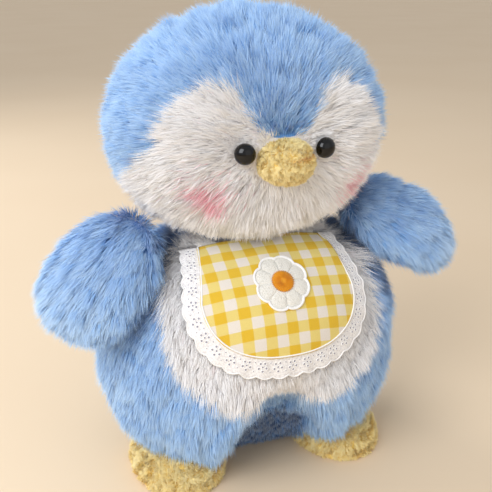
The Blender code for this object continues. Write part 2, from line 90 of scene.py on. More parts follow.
def shown(name, form, material=None):
    """Makes a form into a smooth-shaded object."""
    bmesh.ops.recalc_face_normals(form, faces=form.faces)
    mesh = bpy.data.meshes.new(name)
    form.to_mesh(mesh)
    form.free()
    mesh.shade_smooth()
    thing = bpy.data.objects.new(name, mesh)
    bpy.context.scene.collection.objects.link(thing)
    if material:
        mesh.materials.append(material)
    return thing


def settled(thing):
    """Replaces an object's mesh by what its modifiers make of it."""
    view = bpy.context.evaluated_depsgraph_get()
    mesh = bpy.data.meshes.new_from_object(thing.evaluated_get(view))
    thing.modifiers.clear()
    thing.data = mesh
    return thing


def thickened(thing, wall, offset):
    """Gives a sheet the thickness of its cloth."""
    cloth = thing.modifiers.new("cloth", "SOLIDIFY")
    cloth.thickness = wall
    cloth.offset = offset
    return settled(thing)


def turned(form, profile, steps, merge=1e-5, closed=False):
    """Turns a profile of points round the upright axis; returns its form."""
    verts = [form.verts.new(point) for point in profile]
    after = verts[1:] + (verts[:1] if closed else [])
    edges = [form.edges.new(pair) for pair in zip(verts, after)]
    bmesh.ops.spin(form, geom=verts + edges, axis=(0, 0, 1), cent=(0, 0, 0), angle=2 * pi,
                   steps=steps, use_merge=True)
    bmesh.ops.remove_doubles(form, verts=form.verts, dist=merge)
    return form


def carved(thing, forms):
    """Cuts an object by (form, operation) pairs and applies the cuts."""
    tools = []
    for form, operation in forms:
        tool = shown("tool", form)
        cut = thing.modifiers.new("cut", "BOOLEAN")
        cut.operation = operation
        cut.solver = "EXACT"
        cut.object = tool
        tools.append(tool)
    settled(thing)
    for tool in tools:
        bpy.data.objects.remove(tool, do_unlink=True)
    for polygon in thing.data.polygons:
        polygon.use_smooth = True
    thing.data.set_sharp_from_angle(angle=radians(50))
    return thing


def wedge(apex, outline):
    """A pyramid from apex out through a closed outline of (azimuth, elevation) directions."""
    form = bmesh.new()
    apex = Vector(apex)
    tip = form.verts.new(apex)
    ring = []
    for azimuth, elevation in outline:
        turn, lift = radians(azimuth), radians(elevation)
        way = Vector((sin(turn) * cos(lift), -cos(turn) * cos(lift), sin(lift)))
        ring.append(form.verts.new(apex + way * 0.4))
    middle = sum((vert.co - apex for vert in ring), Vector()).normalized()
    cap = form.verts.new(apex + middle * 0.6)
    for first, second in zip(ring, ring[1:] + ring[:1]):
        form.faces.new((tip, first, second))
        form.faces.new((cap, second, first))
    return form


def box_form(low, high):
    form = bmesh.new()
    bmesh.ops.create_cube(form, size=1)
    size = Vector(high) - Vector(low)
    bmesh.ops.scale(form, vec=size, verts=form.verts)
    bmesh.ops.translate(form, vec=Vector(low) + size / 2, verts=form.verts)
    return form


def closed_curve(half, steps=4):
    """A smooth closed curve through a half outline and its mirror image."""
    points = half + [(-x, y) for x, y in reversed(half[1:-1])]
    result = []
    count = len(points)
    for index in range(count):
        a, b, c, d = (Vector(points[(index + shift) % count]) for shift in (-1, 0, 1, 2))
        for step in range(steps):
            t = step / steps
            result.append(tuple(b + (c - a) * t / 2 + (2 * a - 5 * b + 4 * c - d) * t * t / 2
                                + (3 * b - a - 3 * c + d) * t ** 3 / 2))
    return result


def directions(points, apex):
    """Azimuth and elevation of points as seen from apex, in degrees."""
    away = points - np.array(apex)
    azimuth = np.degrees(np.arctan2(away[:, 0], -away[:, 1]))
    elevation = np.degrees(np.arctan2(away[:, 2], np.hypot(away[:, 0], away[:, 1])))
    return azimuth, elevation


def enclosed(x, y, outline):
    """Which points (x, y) lie inside a closed outline."""
    inside = np.zeros(len(x), bool)
    for (x0, y0), (x1, y1) in zip(outline, outline[1:] + outline[:1]):
        if y0 == y1:
            continue
        crosses = (y0 > y) != (y1 > y)
        inside ^= crosses & (x < (x1 - x0) * (y - y0) / (y1 - y0) + x0)
    return inside


def smooth(low, high, value):
    t = np.clip((value - low) / (high - low), 0, 1)
    return t * t * (3 - 2 * t)


def unit(vectors):
    return vectors / np.maximum(np.linalg.norm(vectors, axis=1), 1e-9)[:, None]


def spread(form, per_mm2, rng):
    """Even random points over a form, with the surface's outward direction at each.

    A form's faces come in a different order each run, so its triangles are put in order first.
    """
    mesh = bpy.data.meshes.new("spread")
    bmesh.ops.recalc_face_normals(form, faces=form.faces)
    form.verts.index_update()
    form.to_mesh(mesh)
    points = np.empty(len(mesh.vertices) * 3)
    mesh.vertices.foreach_get("co", points)
    points = points.reshape(-1, 3)
    outward = np.empty(len(mesh.vertices) * 3)
    mesh.vertex_normals.foreach_get("vector", outward)
    outward = np.round(outward.reshape(-1, 3), 5)
    bpy.data.meshes.remove(mesh)
    corners = []
    for face in form.faces:
        ring = [vert.index for vert in face.verts]
        first = ring.index(min(ring))
        ring = ring[first:] + ring[:first]
        corners += [(ring[0], *pair) for pair in zip(ring[1:], ring[2:])]
    form.free()
    corners = np.array(sorted(corners))
    a, b, c = (points[corners[:, i]] for i in range(3))
    areas = np.linalg.norm(np.cross(b - a, c - a), axis=1) / 2
    density = per_mm2 * 1.0
    count = int(areas.sum() * 1e6 * density)
    chosen = rng.choice(len(areas), count, p=areas / areas.sum())
    u, v = rng.random(count), rng.random(count)
    flip = u + v > 1
    u[flip], v[flip] = 1 - u[flip], 1 - v[flip]
    share = np.stack((1 - u - v, u, v), 1)[:, :, None]
    return ((points[corners[chosen]] * share).sum(1),
            unit((outward[corners[chosen]] * share).sum(1)))


def tufts(points, size):
    """For each point the middle of its tuft, and three random numbers the tuft shares."""
    scaled = points / size
    low = np.floor(scaled - 0.5).astype(np.int64)
    best = np.full(len(points), 1e9)
    middle = np.zeros_like(points)
    shared = np.zeros_like(points)
    for corner in range(8):
        cell = low + np.array(((corner >> 2) & 1, (corner >> 1) & 1, corner & 1))
        key = (cell * np.array((73856093, 19349663, 83492791))).sum(1)
        random = np.stack([((key * (2654435761 + 40503 * i)) >> 9) & 4095 for i in range(3)], 1)
        random = random / 4095
        centre = (cell + 0.5 + (random - 0.5) * 0.9) * size
        distance = ((centre - points) ** 2).sum(1)
        nearer = distance < best
        best[nearer] = distance[nearer]
        middle[nearer] = centre[nearer]
        shared[nearer] = random[nearer]
    return middle, shared


def pile(name, material, roots, outward, lie, reach, tone, rng, width=0.00038, tuft=0.0042,
         gather=0.55, unruly=0.2, droop=0.25, fleck=0.34):
    """Strands of pile: a blade of two triangles for each root, bent the way it lies."""
    middle, shared = tufts(roots, tuft)
    broad, swirl = tufts(roots, tuft * 3.1)
    lie = lie - outward * (lie * outward).sum(1)[:, None]
    way = outward * 0.8 + lie + (shared - 0.5) * 0.45 + (swirl - 0.5) * 0.7
    way = unit(way + rng.normal(0, unruly, roots.shape))
    climb = (way * outward).sum(1)
    way = unit(way + outward * np.maximum(0.3 - climb, 0)[:, None])
    end = unit(way + lie * 0.6 + np.array((0, 0, -droop)) + rng.normal(0, unruly * 0.6, roots.shape))
    climb = (end * outward).sum(1)
    end = unit(end + outward * np.maximum(0.12 - climb, 0)[:, None])
    reach = reach * (0.86 + 0.28 * shared[:, 0]) * (0.82 + 0.36 * rng.random(len(roots)))
    pull = middle - roots
    pull -= outward * (pull * outward).sum(1)[:, None]
    knee = roots + way * (reach * 0.45)[:, None] + pull * gather * 0.35
    tip = knee + end * (reach * 0.55)[:, None] + pull * gather * 0.65
    knee[:, 2] = np.maximum(knee[:, 2], 0.0006)
    tip[:, 2] = np.maximum(tip[:, 2], 0.0004)
    side = unit(np.cross(way, outward))
    roll = rng.normal(0, 0.4, len(roots))[:, None]
    side = side * np.cos(roll) + unit(np.cross(side, way)) * np.sin(roll)
    wide = side * (width / 2) * (0.75 + 0.5 * rng.random(len(roots)))[:, None]
    count = len(roots)
    verts = np.stack((roots, knee + wide, knee - wide, tip), 1)
    low_out = (np.cross(wide, knee - roots) * outward).sum(1)[:, None] > 0
    high_out = (np.cross(wide, tip - knee) * outward).sum(1)[:, None] > 0
    corners = np.hstack((np.where(low_out, (0, 1, 2), (0, 2, 1)),
                         np.where(high_out, (2, 1, 3), (1, 2, 3))))
    loops = (np.arange(count)[:, None] * 4 + corners).reshape(-1)
    mesh = bpy.data.meshes.new(name)
    mesh.vertices.add(count * 4)
    mesh.vertices.foreach_set("co", verts.reshape(-1))
    mesh.loops.add(count * 6)
    mesh.loops.foreach_set("vertex_index", loops)
    mesh.polygons.add(count * 2)
    mesh.polygons.foreach_set("loop_start", np.arange(count * 2) * 3)
    mesh.polygons.foreach_set("use_smooth", np.ones(count * 2, bool))
    tone = tone + (shared[:, 1] - 0.5) * fleck + (swirl[:, 1] - 0.5) * fleck * 0.5
    tone = np.clip(tone + rng.normal(0, 0.05, count), 0.01, 0.99)
    along = np.array((0.02, 0.45, 0.45, 0.98))[corners].reshape(-1)
    across = (tone[:, None] + np.array((0, 0.004, -0.004, 0))[corners]).reshape(-1)
    lay = mesh.uv_layers.new(name="OFBake")
    lay.uv.foreach_set("vector", np.stack((along, across), 1).reshape(-1))
    mesh.update(calc_edges=True)
    mesh.materials.append(material)
    thing = bpy.data.objects.new(name, mesh)
    bpy.context.scene.collection.objects.link(thing)
    return thing


def linear(code):
    """A colour given as sRGB hex, in the shader's linear values."""
    values = [int(code[i:i + 2], 16) / 255 for i in (0, 2, 4)]
    return tuple(v / 12.92 if v <= 0.04045 else ((v + 0.055) / 1.055) ** 2.4 for v in values) + (1,)


def new_material(name, roughness=0.9, sheen=0.0):
    material = bpy.data.materials.new(name)
    material.use_nodes = True
    shader = material.node_tree.nodes["Principled BSDF"]
    shader.inputs["Roughness"].default_value = roughness
    shader.inputs["Metallic"].default_value = 0
    shader.inputs["Specular IOR Level"].default_value = 0.25
    shader.inputs["Sheen Weight"].default_value = sheen
    shader.inputs["Sheen Roughness"].default_value = 0.5
    return material, material.node_tree, shader


def add(tree, kind, inputs, **settings):
    """Adds a shader node. Each input is given as a value, or as the socket that feeds it."""
    node = tree.nodes.new("ShaderNode" + kind)
    for key, value in settings.items():
        setattr(node, key, value)
    for key, value in inputs.items():
        if isinstance(value, bpy.types.NodeSocket):
            tree.links.new(value, node.inputs[key])
        else:
            node.inputs[key].default_value = value
    return node


def maths(tree, operation, *values):
    return add(tree, "Math", dict(enumerate(values)), operation=operation).outputs["Value"]


def colour_mix(tree, factor, first, second, blend="MIX"):
    return add(tree, "Mix", {"Factor": factor, "A": first, "B": second}, data_type="RGBA",
               blend_type=blend).outputs["Result"]


def ramped(tree, factor, tones):
    """A colour by a factor, through (place, colour) marks."""
    ramp = add(tree, "ValToRGB", {"Fac": factor})
    marks = ramp.color_ramp.elements
    while len(marks) < len(tones):
        marks.new(0.5)
    for mark, (place, code) in zip(marks, tones):
        mark.position = place
        mark.color = linear(code)
    return ramp.outputs["Color"]


def raised(material, height, strength, distance, invert=False):
    """Bumps a material's surface by a height."""
    tree = material.node_tree
    bump = add(tree, "Bump", {"Strength": strength, "Distance": distance, "Height": height},
               invert=invert)
    tree.links.new(bump.outputs["Normal"], tree.nodes["Principled BSDF"].inputs["Normal"])


def object_place(material):
    return add(material.node_tree, "TexCoord", {}).outputs["Object"]


def mottled(name, roughness, sheen, scale, code, other, detail=2):
    """A material whose colour drifts between two in soft blotches."""
    material, tree, shader = new_material(name, roughness, sheen)
    noise = add(tree, "TexNoise", {"Vector": object_place(material), "Scale": scale,
                                   "Detail": detail})
    colour = colour_mix(tree, noise.outputs["Fac"], linear(code), linear(other))
    tree.links.new(colour, shader.inputs["Base Color"])
    return material


def cellular(name, roughness, sheen, scale, tones, strength, depth, invert=False):
    """A material of small round cells, which show in its colour and its height."""
    material, tree, shader = new_material(name, roughness, sheen)
    cells = add(tree, "TexVoronoi", {"Vector": object_place(material), "Scale": scale})
    tree.links.new(ramped(tree, cells.outputs["Distance"], tones), shader.inputs["Base Color"])
    raised(material, cells.outputs["Distance"], strength, depth, invert)
    return material


def node_group(name, inputs, outputs):
    """An empty group of shader nodes, with the nodes that are its way in and its way out."""
    tree = bpy.data.node_groups.new(name, "ShaderNodeTree")
    for way, sockets in (("INPUT", inputs), ("OUTPUT", outputs)):
        for label, kind in sockets.items():
            tree.interface.new_socket(label, in_out=way, socket_type="NodeSocket" + kind)
    return tree, tree.nodes.new("NodeGroupInput"), tree.nodes.new("NodeGroupOutput")


def strand_group():
    """Gives a strand its root colour, its own colour and its tip colour, along its length."""
    tree, given, out = node_group("strand shading", {
        "Along": "Float", "Colour": "Color", "Root": "Color", "Tip": "Color",
        "Tip share": "Float"}, {"Colour": "Color"})
    rise = add(tree, "MapRange", {"From Max": 0.55, "Value": given.outputs["Along"]},
               interpolation_type="SMOOTHSTEP")
    low = colour_mix(tree, rise.outputs["Result"], given.outputs["Root"], given.outputs["Colour"])
    late = add(tree, "MapRange", {"From Min": 0.5, "Value": given.outputs["Along"]})
    tip_share = maths(tree, "MULTIPLY", late.outputs["Result"], given.outputs["Tip share"])
    high = colour_mix(tree, tip_share, low, given.outputs["Tip"])
    tree.links.new(high, out.inputs["Colour"])
    return tree


strand_shading = strand_group()


def pile_material(name, tones, root, tip, sheen):
    """Pile whose colour goes by each strand's own tone."""
    material, tree, shader = new_material(name, 0.85, sheen)
    lay = add(tree, "UVMap", {}, uv_map="OFBake")
    parts = add(tree, "SeparateXYZ", {"Vector": lay.outputs["UV"]})
    group = add(tree, "Group", {
        "Along": parts.outputs["X"], "Colour": ramped(tree, parts.outputs["Y"], tones),
        "Root": linear(root), "Tip": linear(tip[0]), "Tip share": tip[1]}, node_tree=strand_shading)
    tree.links.new(group.outputs["Colour"], shader.inputs["Base Color"])
    return material


def backing_material(name, code, other):
    """Knitted backing cloth: fine ribs of stitches with soft patches of colour."""
    material = mottled(name, 0.95, 0, 400, code, other)
    ribs = add(material.node_tree, "TexWave", {"Scale": 260, "Vector": object_place(material)})
    raised(material, ribs.outputs["Fac"], 0.4, 0.0003)
    return material


# The navy low end of the blue ramp serves painted shade in creases and between the feet.
blue_pile = pile_material(
    "blue long pile", root="74A8E2", tip=("DFF0FE", 0.5), sheen=0.35,
    tones=[(0, "1F3E70"), (0.14, "4478BE"), (0.32, "84B7EC"), (0.6, "ABD2F8"), (1, "D0E7FC")])
white_pile = pile_material(
    "white long pile", root="F7F4F5", tip=("FFFFFF", 0.35), sheen=0.35,
    tones=[(0, "E4E0E2"), (0.2, "F8F6F6"), (0.5, "FFFEFD"), (0.62, "FFDCE2"), (1, "F795AC")])
blue_backing = backing_material("blue knitted backing", "6FA2E0", "5E92D4")
white_backing = backing_material("white knitted backing", "F2EFEE", "E6E2E2")


def grown(half, by):
    return tuple(size + by for size in half)


def head_surface(by):
    return egg(HEAD_MIDDLE, grown(HEAD_HALF, by))


def head_lie(points):
    """The pile lies away from the beak, and down the back of the head."""
    lie = unit(points - BEAK_MIDDLE)
    back = smooth(-0.01, 0.05, points[:, 1])
    lie[:, 2] -= back * 1.3
    return lie


face_curve = closed_curve(FACE_OUTLINE)
seat_under_head = ((-0.3, -0.3, -0.3), (0.3, 0.3, 0.166))
for skin_name, node, operation, cloth, finish_slot in (
        ("head_cap_backing", "head_cap", "DIFFERENCE", blue_backing, "blue_long_pile"),
        ("face_backing", "face_panel", "INTERSECT", white_backing, "white_long_pile")):
    skin = shown(skin_name, head_surface(-BACKING_DEPTH), cloth)
    carved(skin, [(head_surface(-BACKING_DEPTH - BACKING_WALL), "DIFFERENCE"),
                  (wedge(HEAD_MIDDLE, face_curve), operation),
                  (box_form(*seat_under_head), "DIFFERENCE")])
    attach(skin, "head")
    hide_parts(node)

rng = np.random.default_rng(11)
roots, outward = spread(head_surface(-BACKING_DEPTH), LONG_PILE_PER_MM2, rng)
keep = roots[:, 2] > 0.1655
roots, outward = roots[keep], outward[keep]
azimuth, elevation = directions(roots, HEAD_MIDDLE)
on_face = enclosed(azimuth + rng.normal(0, 0.6, len(roots)),
                   elevation + rng.normal(0, 0.6, len(roots)), face_curve)
eye_gap = np.min([np.linalg.norm(roots - place, axis=1) for place in EYE_PLACES], axis=0)
beak_gap = np.linalg.norm((roots - BEAK_MIDDLE) / (BEAK_HALF + 0.0005), axis=1)
clear = (eye_gap > 0.0058) & (beak_gap > 1.0)
lie = head_lie(roots)
reach = LONG_PILE * (0.5 + 0.5 * smooth(0.006, 0.020, eye_gap))
reach *= 0.45 + 0.55 * smooth(1.0, 2.3, beak_gap)
reach *= 0.72 + 0.28 * np.maximum(smooth(0.166, 0.185, roots[:, 2]),
                                  smooth(-0.02, -0.04, roots[:, 1]))

cap = clear & ~on_face
# Painted shade darkens the cap's pile in a ring round the beak; the pile is also a little lighter
# towards the back.
shade = 0.55 - 0.28 * np.exp(-((beak_gap - 1.0) / 0.55) ** 2)
shade += 0.16 * smooth(-0.02, 0.05, roots[:, 1])
for side, chosen in (("right", roots[:, 0] < 0), ("left", roots[:, 0] >= 0)):
    part = cap & chosen
    pelt = pile("head_cap_pile_" + side, blue_pile, roots[part], outward[part], lie[part],
                reach[part], shade[part], rng)
    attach(pelt, "head")

face = clear & on_face
blush = np.zeros(len(roots))
for place_azimuth, place_elevation in BLUSH_PLACES:
    blush += np.exp(-((azimuth - place_azimuth) / 9.5) ** 2
                    - ((elevation - place_elevation) / 8.0) ** 2)
snow = 0.36 + 0.04 * smooth(0.18, 0.24, roots[:, 2])
snow = np.where(rng.random(len(roots)) < blush * 0.9, 0.62 + 0.32 * blush, snow)
pelt = pile("face_pile", white_pile, roots[face], outward[face], lie[face] * 0.9, reach[face],
            snow[face], rng, fleck=0.14)
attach(pelt, "head")


# ---------------------------------------------------------------- beak
# The beak is an oval pad of short yellow pile, sewn in two halves, with orange painted shade
# along the crease where they meet. It stands on the seam between cap and face.

MOUTH = 0.2225
BEAK_BACKING = -0.0018
BEAK_PILE, BEAK_PILE_PER_MM2 = 0.0022, 14.0

# The orange low end of the yellow ramp serves the painted shade in the beak's crease.
yellow_pile = pile_material(
    "yellow short pile", root="F5DA88", tip=("FFF6D2", 0.4), sheen=0.35,
    tones=[(0, "E8943A"), (0.3, "F6D87E"), (0.6, "FCE9A6"), (1, "FEF3C6")])
yellow_backing = backing_material("yellow knitted backing", "F3D47C", "EBC968")


def beak_surface(by):
    """The beak's oval, drawn in along its crease."""
    form = egg(BEAK_MIDDLE, grown((*BEAK_HALF, BEAK_HALF[2]), by), 2.2, 64, 48)
    for vert in form.verts:
        near = np.exp(-((vert.co.z - MOUTH) / 0.0014) ** 2)
        vert.co.y += 0.0016 * near
    return form


for half_name, low, high in (("upper", MOUTH, 0.3), ("lower", 0.1, MOUTH)):
    skin = shown("beak_%s_backing" % half_name, beak_surface(BEAK_BACKING), yellow_backing)
    carved(skin, [(box_form((-0.1, -0.2, low), (0.1, -0.0555, high)), "INTERSECT")])
    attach(skin, "head")
    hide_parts("beak_" + half_name)

rng = np.random.default_rng(12)
roots, outward = spread(beak_surface(BEAK_BACKING), BEAK_PILE_PER_MM2, rng)
keep = roots[:, 1] < -0.059
roots, outward = roots[keep], outward[keep]
# Painted shade: the pile turns orange along the crease between the halves, on the beak's left front.
crease = np.exp(-((roots[:, 2] - MOUTH) / 0.0016) ** 2)
crease_shade = crease * smooth(-0.012, 0.006, roots[:, 0])
tone = 0.62 - 0.55 * crease_shade * (roots[:, 1] < -0.07)
lie = (tufts(roots, 0.0022)[1] - 0.5) * 1.6 + np.array((0, -0.1, -0.4))
pelt = pile("beak_pile", yellow_pile, roots, outward, lie, np.full(len(roots), BEAK_PILE), tone,
            rng, width=0.00032, tuft=0.0016, gather=0.3, droop=0.1, fleck=0.1)
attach(pelt, "head")


# ---------------------------------------------------------------- eyes
# Two moulded black safety eyes: a polished dome with a thin flat rim, its shank pushed through
# the face and locked by a plastic washer. They sit a little sunk in the pile.

gloss = mottled("polished black plastic", 0.1, 0, 900, "040405", "0C0C0E")
gloss.node_tree.nodes["Principled BSDF"].inputs["Specular IOR Level"].default_value = 0.4

for side_name, sign in (("left", 1), ("right", -1)):
    spot = Vector((sign * EYE_OUT, 0, -EYE_DROP))
    spot.y = -HEAD_HALF[1] * (1 - (spot.x / HEAD_HALF[0]) ** 2 - (spot.z / HEAD_HALF[2]) ** 2) ** 0.5
    outward_way = Vector([spot[i] / HEAD_HALF[i] ** 2 for i in range(3)])
    facing = outward_way.to_track_quat("Z", "Y").to_matrix().to_4x4()
    profile = [(0, -0.009), (0.0014, -0.009), (0.0014, -0.0012), (0.0054, -0.0012),
               (EYE_RADIUS, -0.0006), (EYE_RADIUS, 0.0002)]
    profile += [(EYE_RADIUS * cos(a), 0.0004 + 0.0048 * sin(a))
                for a in np.linspace(0.06, pi / 2, 14)[:-1]]
    profile.append((0, 0.0052))
    form = turned(bmesh.new(), [(r, 0, z) for r, z in profile], 48, merge=1e-6)
    form.transform(Matrix.Translation(spot + Vector(HEAD_MIDDLE)) @ facing)
    eye = shown("eye_dome_" + side_name, form, gloss)
    eye.data.set_sharp_from_angle(angle=radians(40))
    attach(eye, "head")
    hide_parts("eye_" + side_name)


# ---------------------------------------------------------------- body
# A full round body of blue long-pile plush with a white oval belly panel let into its front. The
# pile lies downwards. Between the feet the lower edge is drawn up in an arch.

BODY_HALF = (0.102, 0.0825, 0.078, 0.084)
BODY_WAIST = (0, 0, 0.082)
BODY_FULLNESS = 2.5
BODY_PILE, BODY_PILE_PER_MM2 = 0.0140, 4.0
BELLY_OUTLINE = [(0, -4), (17, -3), (33, 3), (45, 12), (52, 24), (59, 38), (72, 50), (84, 60),
                 (74, 72), (0, 78)]
BELLY_VIEW = (0, 0, 0.075)
FEET = [np.array((side * 0.058, -0.021, 0.0)) for side in (1, -1)]
FOOT_HALF = (0.032, 0.043, 0.026, 0.026)


def arched(form):
    """Draws the underside up between the feet."""
    for vert in form.verts:
        x, y, z = vert.co
        across = max(0.0, 1 - (x / 0.040) ** 2)
        front = float(smooth(-0.018, -0.054, np.array(y)))
        low = float(smooth(0.115, 0.010, np.array(z)))
        vert.co.z += 0.052 * across * front * low
    return form


def body_surface(by):
    return arched(egg(BODY_WAIST, grown(BODY_HALF, by), BODY_FULLNESS))


belly_curve = closed_curve(BELLY_OUTLINE)
above_neck = ((-0.3, -0.3, 0.1565), (0.3, 0.3, 0.5))
under_floor = ((-0.3, -0.3, -0.3), (0.3, 0.3, 0.0053))
for skin_name, node, operation, cloth, finish_slot in (
        ("body_back_backing", "body_back", "DIFFERENCE", blue_backing, "blue_long_pile"),
        ("belly_backing", "belly_panel", "INTERSECT", white_backing, "white_long_pile")):
    skin = shown(skin_name, body_surface(-BACKING_DEPTH), cloth)
    carved(skin, [(body_surface(-BACKING_DEPTH - BACKING_WALL), "DIFFERENCE"),
                  (wedge(BELLY_VIEW, belly_curve), operation),
                  (box_form(*above_neck), "DIFFERENCE"), (box_form(*under_floor), "DIFFERENCE")])
    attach(skin, "body")
    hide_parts(node)

base = shown("base_backing", body_surface(0), blue_backing)
carved(base, [(box_form((-0.3, -0.3, 0), (0.3, 0.3, 0.004)), "INTERSECT")])
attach(base, "body")
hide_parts("base_panel")

CHEST = Matrix.Translation((0, -0.066, 0.140)) @ Matrix.Rotation(radians(48), 4, "X")
BIB_TOP_HALF, BIB_TOP, BIB_HALF, BIB_DROP = 0.041, 0.040, 0.049, 0.0385
BIB_ROUNDNESS = 2.3
chest_axes = np.array(CHEST)[:3, :3]
chest_place = np.array(CHEST)[:3, 3]


def bib_reach(extra, count=241):
    """The bib's outline in the chest's plane: round below, straight up to the neck."""
    points = [(BIB_TOP_HALF + extra, BIB_TOP)]
    for angle in np.linspace(0, pi, count):
        x, y = cos(angle), sin(angle)
        swell = (abs(x) ** BIB_ROUNDNESS + y ** BIB_ROUNDNESS) ** (-1 / BIB_ROUNDNESS)
        points.append((x * swell * (BIB_HALF + extra), -y * swell * (BIB_DROP + extra)))
    points.append((-BIB_TOP_HALF - extra, BIB_TOP))
    return points


rng = np.random.default_rng(13)
roots, outward = spread(body_surface(-BACKING_DEPTH), BODY_PILE_PER_MM2, rng)
under_neck = (roots[:, 2] >= 0.153) & (np.hypot(roots[:, 0], roots[:, 1]) <= 0.045)
keep = (roots[:, 2] > 0.004) & ~under_neck
for foot in FEET:
    keep &= np.linalg.norm((roots - foot) / (np.array(FOOT_HALF[:3]) - 0.002), axis=1) > 1.0
in_plane = (roots - chest_place) @ chest_axes
under_bib = enclosed(in_plane[:, 0], in_plane[:, 1], bib_reach(0.0045)) & (roots[:, 1] < 0)
keep &= ~under_bib | (rng.random(len(roots)) < 0.4)
roots, outward, in_plane, under_bib = roots[keep], outward[keep], in_plane[keep], under_bib[keep]
azimuth, elevation = directions(roots, BELLY_VIEW)
on_belly = enclosed(azimuth + rng.normal(0, 0.7, len(roots)),
                    elevation + rng.normal(0, 0.7, len(roots)), belly_curve)
near_bib = enclosed(in_plane[:, 0], in_plane[:, 1], bib_reach(0.014)) & (roots[:, 1] < 0)
reach = np.where(near_bib, 0.0085, BODY_PILE)
reach *= 1 + 0.4 * smooth(0.120, 0.145, roots[:, 2]) * smooth(0.045, 0.060, np.abs(roots[:, 0]))
reach = np.where(under_bib, 0.0055, reach)
lie = np.tile(np.array((0.0, 0.0, -1.0)), (len(roots), 1))
lie[:, 0] += roots[:, 0] * 5
lie[:, 1] += np.where(roots[:, 1] < 0, -0.25, 0.25)
lie[under_bib] *= 2
crook = [np.array((side * 0.072, -0.012, 0.140)) for side in (1, -1)]
crook_gap = np.min([np.linalg.norm(roots - place, axis=1) for place in crook], axis=0)
# Painted shade: the pile is darker in the crook by each flipper and under the head; it is a little
# lighter lower down.
shade = 0.5 + 0.12 * smooth(0.12, 0.04, roots[:, 2]) - 0.42 * smooth(0.045, 0.015, crook_gap)
shade -= 0.30 * smooth(0.135, 0.158, roots[:, 2])
# Painted shadow darkens the pile in the gap between the feet, where it is also shorter.
gap = smooth(0.036, 0.022, np.abs(roots[:, 0])) * smooth(0.056, 0.042, roots[:, 2])
gap *= roots[:, 1] < 0
shade -= 0.6 * gap
reach *= 1 - 0.5 * gap
for name, chosen in (("back_pile_right", ~on_belly & (roots[:, 0] < 0) & (roots[:, 1] >= 0)),
                     ("back_pile_left", ~on_belly & (roots[:, 0] >= 0) & (roots[:, 1] >= 0)),
                     ("side_pile_right", ~on_belly & (roots[:, 0] < 0) & (roots[:, 1] < 0)),
                     ("side_pile_left", ~on_belly & (roots[:, 0] >= 0) & (roots[:, 1] < 0))):
    pelt = pile(name, blue_pile, roots[chosen], outward[chosen], lie[chosen], reach[chosen],
                shade[chosen], rng)
    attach(pelt, "body")
pelt = pile("belly_pile", white_pile, roots[on_belly], outward[on_belly], lie[on_belly],
            reach[on_belly], np.full(int(on_belly.sum()), 0.38), rng, fleck=0.14)
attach(pelt, "body")


# ---------------------------------------------------------------- feet
# Two short blunt feet of clumpy yellow pile, each an upper sewn to a flat sole and stuffed hard.
# The body's pile hangs over their backs.

FOOT_BACKING = -0.002
FOOT_PILE, FOOT_PILE_PER_MM2 = 0.0038, 7.0
HEEL_ROUND = (0.097, 0.078, 0.079)


def foot_surface(foot, by):
    return egg(foot, grown(FOOT_HALF, by), 2.6, 64, 40)


for side_name, foot in zip(("left", "right"), FEET):
    upper = shown("foot_backing_" + side_name, foot_surface(foot, FOOT_BACKING), yellow_backing)
    body_round = egg(BODY_WAIST, grown(BODY_HALF, -BACKING_DEPTH), BODY_FULLNESS, 64, 40)
    carved(upper, [(box_form((-0.3, -0.3, -0.3), (0.3, 0.3, 0.0033)), "DIFFERENCE"),
                   (body_round, "DIFFERENCE")])
    sole = shown("sole_" + side_name, foot_surface(foot, -0.0018), yellow_backing)
    carved(sole, [(box_form((-0.3, -0.3, 0), (0.3, 0.3, 0.003)), "INTERSECT"),
                  (egg(BODY_WAIST, grown(BODY_HALF, 0.0003), BODY_FULLNESS, 64, 40),
                   "DIFFERENCE")])
    for skin, node in ((upper, "foot_upper_"), (sole, "foot_sole_")):
        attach(skin, "body")
        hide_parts(node + side_name)
    rng = np.random.default_rng(14)
    roots, outward = spread(foot_surface(foot, FOOT_BACKING), FOOT_PILE_PER_MM2, rng)
    body_level = np.hypot(roots[:, 0] / HEEL_ROUND[0], roots[:, 1] / HEEL_ROUND[1])
    body_rise = np.abs(roots[:, 2] - BODY_WAIST[2]) / HEEL_ROUND[2]
    body_share = body_level ** BODY_FULLNESS + body_rise ** BODY_FULLNESS
    keep = (roots[:, 2] > 0.001) & (body_share > 0.9)
    roots, outward = roots[keep], outward[keep]
    lie = (roots - foot) * 9 + (tufts(roots, 0.0034)[1] - 0.5) * 1.9
    lie[:, 2] -= 0.3
    patches = tufts(roots, 0.011)[1][:, 0]
    # The tone varies in random patches, and painted shade darkens the pile near the floor.
    tone = 0.58 + 0.2 * (patches - 0.5) - 0.15 * smooth(0.010, 0.002, roots[:, 2])
    pelt = pile("foot_pile_" + side_name, yellow_pile, roots, outward, lie,
                np.full(len(roots), FOOT_PILE), tone, rng, tuft=0.0026, gather=0.5, droop=0.1,
                fleck=0.2)
    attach(pelt, "body")


# ---------------------------------------------------------------- flippers
# Each flipper is two leaves of blue plush sewn round their edge and filled, joined to the body
# along a slanting seam. Their pile lies out towards the tip.

FLIPPER_HALF = (0.034, 0.016, 0.0405, 0.0405)
FLIPPER_MIDDLE = 0.015
FLIPPER_BACKING = -0.004
hinges = {joint["name"]: joint for joint in frame["joints"]}


def flipper_axes(side, sign, droop):
    """Axes and origin at the root's seam: width, thickness, and length towards the tip."""
    forward, fall = radians(21), radians(droop)
    tip = Vector((sign * cos(forward) * cos(fall), -sin(forward) * cos(fall), -sin(fall)))
    seam = hinges["flipper_%s_swing" % side]
    width = Vector(seam["axis"]).normalized()
    turn = Matrix((width, tip.cross(width), tip)).transposed().to_4x4()
    return Matrix.Translation(seam["pos_m"]) @ turn


